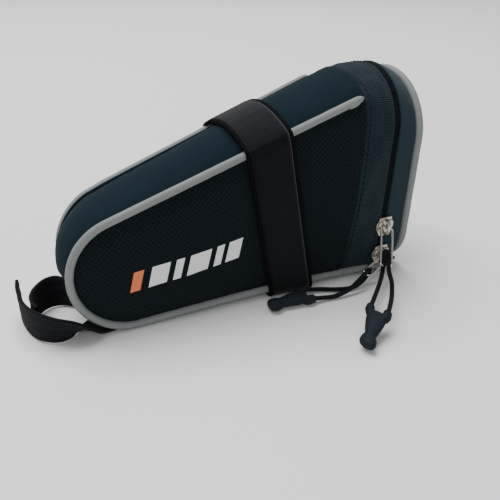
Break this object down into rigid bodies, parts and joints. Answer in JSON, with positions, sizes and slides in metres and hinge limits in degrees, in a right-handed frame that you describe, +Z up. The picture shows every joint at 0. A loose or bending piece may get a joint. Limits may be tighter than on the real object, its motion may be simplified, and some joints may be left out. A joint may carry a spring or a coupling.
{
  "type": "saddle bag",
  "caption": "Wedge saddle bag with piped mesh sides, zipped rear lid, saddle strap, webbing seat-post strap and corded zip pulls.",
  "frame": {"origin": "centre of the saddle strap's flat underside, on the surface the bag stands on", "axes": "+X from the nose (seat-post end) to the rear lid, +Z up, -Y towards the side with the zip sliders"},
  "size_m": [0.2114, 0.1234, 0.111],
  "materials": {
    "mesh_fabric": "matte perforated mesh",
    "gusset_fabric": "matte smooth knit",
    "ribbed_fabric": "matte ribbed weave",
    "reflective_piping": "satin reflective",
    "strap_fabric": "matte brushed loop",
    "webbing": "matte woven",
    "hook_tape": "matte",
    "lining_fabric": "matte",
    "foam": "matte",
    "stiffener_board": "matte",
    "zip_tape": "matte woven",
    "zip_coil": "satin",
    "slider_metal": "satin nickel",
    "ring_wire": "bright",
    "pull_cord": "matte braid",
    "cord_end_plastic": "satin",
    "print_ink": "matte print"
  },
  "bodies": {
    "bag": {"side_panel_near": "mesh_fabric", "side_panel_far": "mesh_fabric", "side_foam_near": "foam", "side_foam_far": "foam", "print_patch": "print_ink", "piping_near": "reflective_piping", "piping_far": "reflective_piping", "top_gusset": "gusset_fabric", "bottom_panel": "gusset_fabric", "base_stiffener": "stiffener_board", "lining": "lining_fabric", "zip_band_body": "ribbed_fabric", "zip_tape_body": "zip_tape", "zip_coil_body": "zip_coil", "saddle_strap": "strap_fabric", "strap_hook_patch": "hook_tape", "post_strap_far": "webbing", "post_strap_anchor": "webbing"},
    "lid": {"lid_edge_piping_near": "reflective_piping", "lid_edge_piping_far": "reflective_piping", "lid_bottom": "gusset_fabric", "zip_band_lid": "ribbed_fabric", "zip_tape_lid": "zip_tape", "zip_coil_lid": "zip_coil", "rear_panel": "gusset_fabric", "rear_stiffener": "stiffener_board", "rear_piping": "reflective_piping", "rear_foot_piping": "reflective_piping"},
    "lower_slider": {"lower_slider_body": "slider_metal"},
    "upper_slider": {"upper_slider_body": "slider_metal"},
    "upper_pull": {"upper_pull_ring": "ring_wire", "upper_pull_cord": "pull_cord", "upper_cord_end": "cord_end_plastic"},
    "lower_pull": {"lower_pull_ring": "ring_wire", "lower_pull_cord": "pull_cord", "lower_cord_end": "cord_end_plastic"},
    "strap_flap": {"strap_flap": "strap_fabric"},
    "post_strap_near": {"post_strap_near": "webbing"}
  },
  "joints": [
    {"name": "lid_hinge", "type": "hinge", "parent": "bag", "child": "lid", "pos_m": [0.0566, 0, 0], "axis": [0, 1, 0], "range_deg": [0, 60]},
    {"name": "lower_zip", "type": "slide", "parent": "bag", "child": "lower_slider", "axis": [0.045, 0, 0.999], "range_m": [0, 0.0055]},
    {"name": "upper_zip", "type": "slide", "parent": "bag", "child": "upper_slider", "axis": [0.045, 0, 0.999], "range_m": [0, 0.042]},
    {"name": "upper_pull_swing", "type": "hinge", "parent": "upper_slider", "child": "upper_pull", "pos_m": [0.05786, -0.0341, 0.028], "axis": [-1, 0, 0], "range_deg": [0, 70]},
    {"name": "lower_pull_swing", "type": "hinge", "parent": "lower_slider", "child": "lower_pull", "pos_m": [0.05708, -0.0341, 0.0106], "axis": [-1, 0, 0], "range_deg": [0, 70]},
    {"name": "strap_flap_peel", "type": "hinge", "parent": "bag", "child": "strap_flap", "pos_m": [-0.0116, 0.0294, 0.078], "axis": [0.989, 0, 0.1478], "range_deg": [0, 60]},
    {"name": "post_strap_swing", "type": "hinge", "parent": "bag", "child": "post_strap_near", "pos_m": [-0.0926, -0.0199, 0.001], "axis": [0, 0, 1], "range_deg": [0, 35]}
  ]
}
